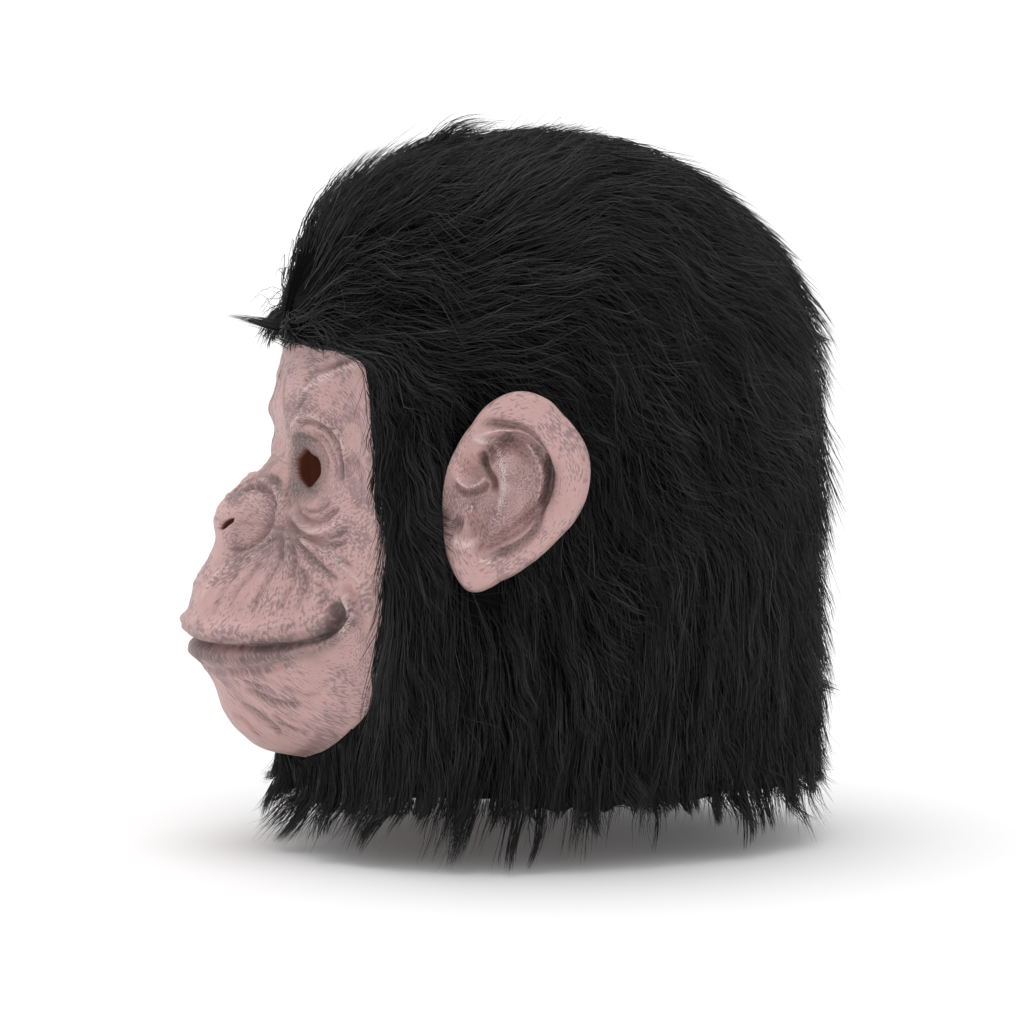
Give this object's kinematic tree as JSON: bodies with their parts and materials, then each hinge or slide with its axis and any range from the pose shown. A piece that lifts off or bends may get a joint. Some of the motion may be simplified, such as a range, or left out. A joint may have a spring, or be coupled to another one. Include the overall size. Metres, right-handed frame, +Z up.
{
  "type": "ape head mask",
  "caption": "Full ape head mask: a pink moulded latex face and two big latex ears set in a deep black faux fur hood, hollow and open at the neck.",
  "frame": {"origin": "on the floor, in the middle of the mask's length and width", "axes": "+Z up, the face looks along -Y, and +X is the wearer's left"},
  "size_m": [0.2704, 0.2924, 0.3184],
  "materials": {
    "latex_skin": "moulded latex with a satin skin, pink with a grey-purple wash in the wrinkles",
    "faux_fur": "long combed black acrylic pile on a knitted backing"
  },
  "bodies": {
    "root": {"face_shell": "latex_skin", "ear_left": "latex_skin", "ear_right": "latex_skin", "fur_hood": "faux_fur"}
  },
  "joints": []
}
